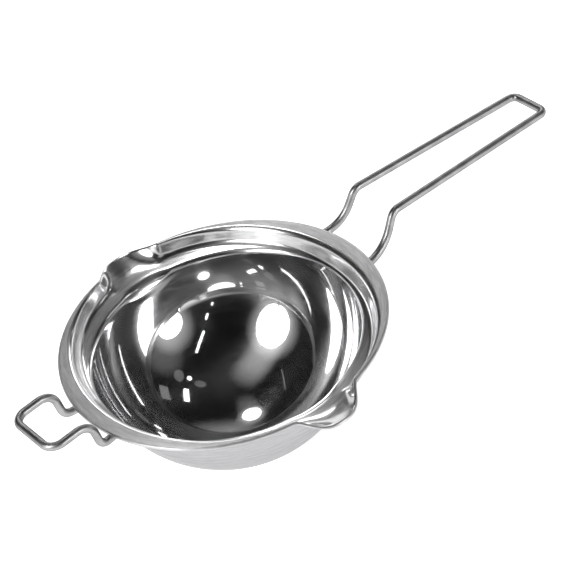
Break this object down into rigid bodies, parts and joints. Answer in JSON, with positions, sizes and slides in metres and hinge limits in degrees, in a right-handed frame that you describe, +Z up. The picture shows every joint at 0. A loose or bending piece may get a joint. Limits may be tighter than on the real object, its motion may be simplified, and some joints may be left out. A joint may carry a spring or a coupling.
{
  "type": "double boiler insert bowl",
  "caption": "Pressed steel melting bowl with a flat rim, opposed pouring spouts, a long wire handle and a short wire rest loop, to hang over a pan of hot water.",
  "frame": {"origin": "centre of the ring on which the bowl hangs: on the bowl's axis, in the plane of the rim's under face, where a pan's rim carries it", "axes": "+Z up through the bowl's mouth, +X along the long handle, +Y towards one of the two spouts"},
  "size_m": [0.316, 0.18, 0.082],
  "materials": {
    "pressed_steel": "mirror polished inside, satin outside and on the flat rim",
    "wire_steel": "bright drawn wire",
    "weld_steel": "dull weld"
  },
  "bodies": {
    "root": {"bowl": "pressed_steel", "handle_wire_frame": "wire_steel", "rest_loop": "wire_steel", "handle_weld_left": "weld_steel", "handle_weld_right": "weld_steel", "loop_weld_left": "weld_steel", "loop_weld_right": "weld_steel"}
  },
  "joints": []
}
